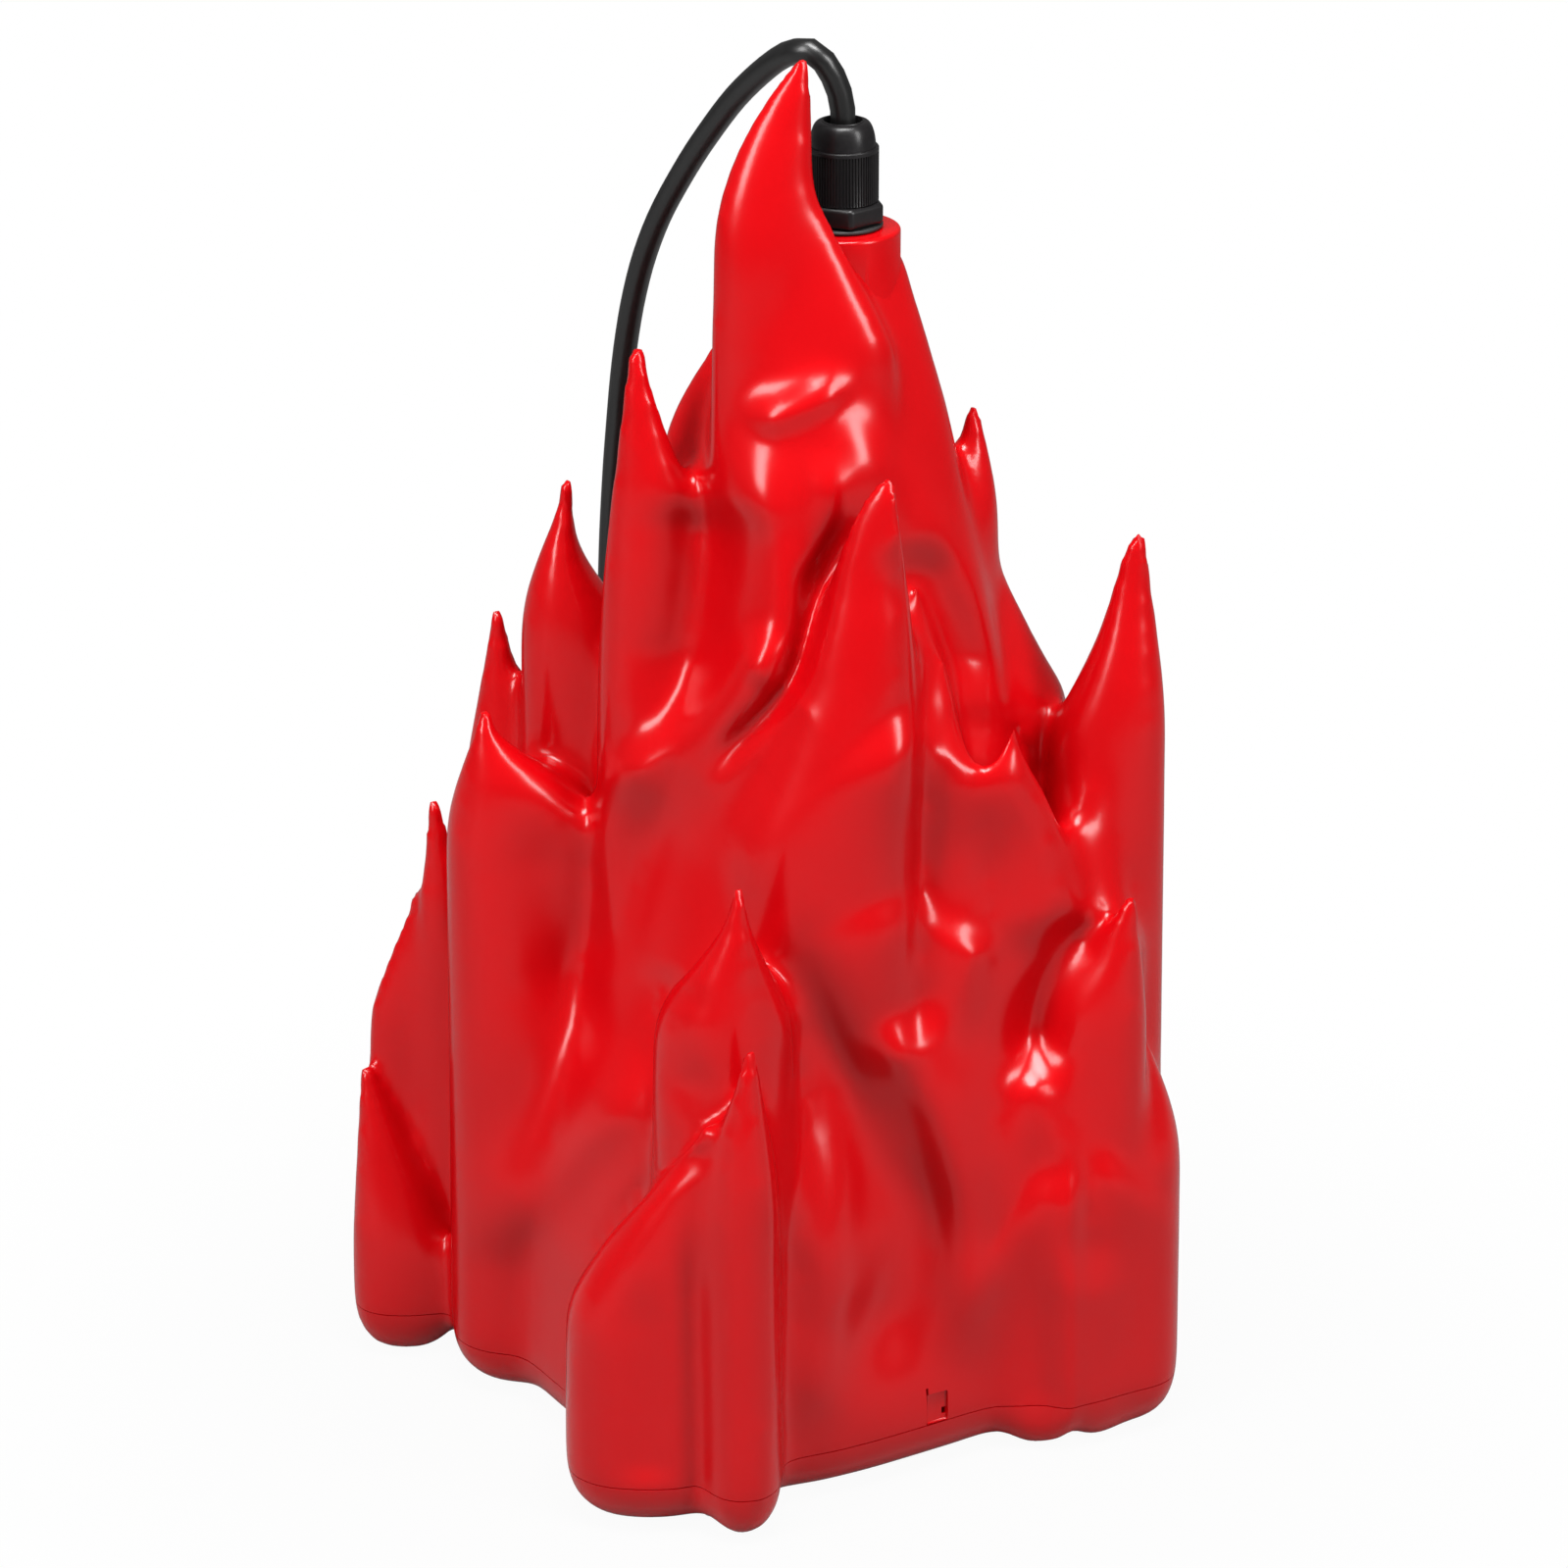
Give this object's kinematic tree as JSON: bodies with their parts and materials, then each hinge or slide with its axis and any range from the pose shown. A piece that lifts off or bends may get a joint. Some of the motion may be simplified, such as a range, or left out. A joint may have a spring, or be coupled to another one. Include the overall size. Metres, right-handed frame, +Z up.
{
  "type": "flame effect light",
  "caption": "Free-standing effect light: a glossy red cover of moulded flame tongues on a shallow base pan, with a black cable gland and cord behind the crown.",
  "frame": {"origin": "centre of the base pan's flat underside", "axes": "+Z up; -Y is the front and +X the right; the pictured corner is between front and right; the cable gland stands on the rear half"},
  "size_m": [0.2872, 0.2411, 0.4053],
  "materials": {
    "red_plastic": "glossy, faintly translucent injection-moulded red",
    "black_nylon": "satin moulded nylon",
    "black_rubber": "matt rubber",
    "cord_jacket": "smooth semi-gloss cable jacket",
    "zinc_steel": "zinc-plated screw steel",
    "nickel_brass": "nickel-plated brass",
    "white_plastic": "white moulded plastic",
    "board": "green circuit board lacquer"
  },
  "bodies": {
    "light": {"flame_shell": "red_plastic", "base_pan": "red_plastic", "gland_washer": "black_rubber", "gland_body": "black_nylon", "gland_locknut": "black_nylon", "gland_seal": "black_rubber", "base_screw_1": "zinc_steel", "base_screw_2": "zinc_steel", "base_screw_3": "zinc_steel", "base_screw_4": "zinc_steel", "led_post": "white_plastic", "post_screw_1": "zinc_steel", "post_screw_2": "zinc_steel", "led_board_1": "board", "led_board_2": "board", "led_board_3": "board", "driver_board": "board", "driver_screw_1": "zinc_steel", "driver_screw_2": "zinc_steel", "terminal_block": "white_plastic", "cord_tail": "cord_jacket", "cord": "cord_jacket", "cord_coil": "cord_jacket", "cord_tie": "black_rubber", "plug_body": "black_nylon", "plug_pin_1": "nickel_brass", "plug_pin_2": "nickel_brass"},
    "slip_ring": {"gland_slip_ring": "black_nylon"},
    "nut": {"gland_nut": "black_nylon"}
  },
  "joints": [
    {"name": "gland_nut_lift", "type": "slide", "parent": "light", "child": "slip_ring", "axis": [0, 0, 1], "range_m": [0, 0.0043]},
    {"name": "gland_nut_turn", "type": "hinge", "parent": "slip_ring", "child": "nut", "pos_m": [0, 0.0188, 0.3664], "axis": [0, 0, 1], "range_deg": [0, 1080]}
  ],
  "couplings": [
    {"joint": "gland_nut_lift", "follows": "gland_nut_turn", "m_per_rad": 0.0002245}
  ]
}
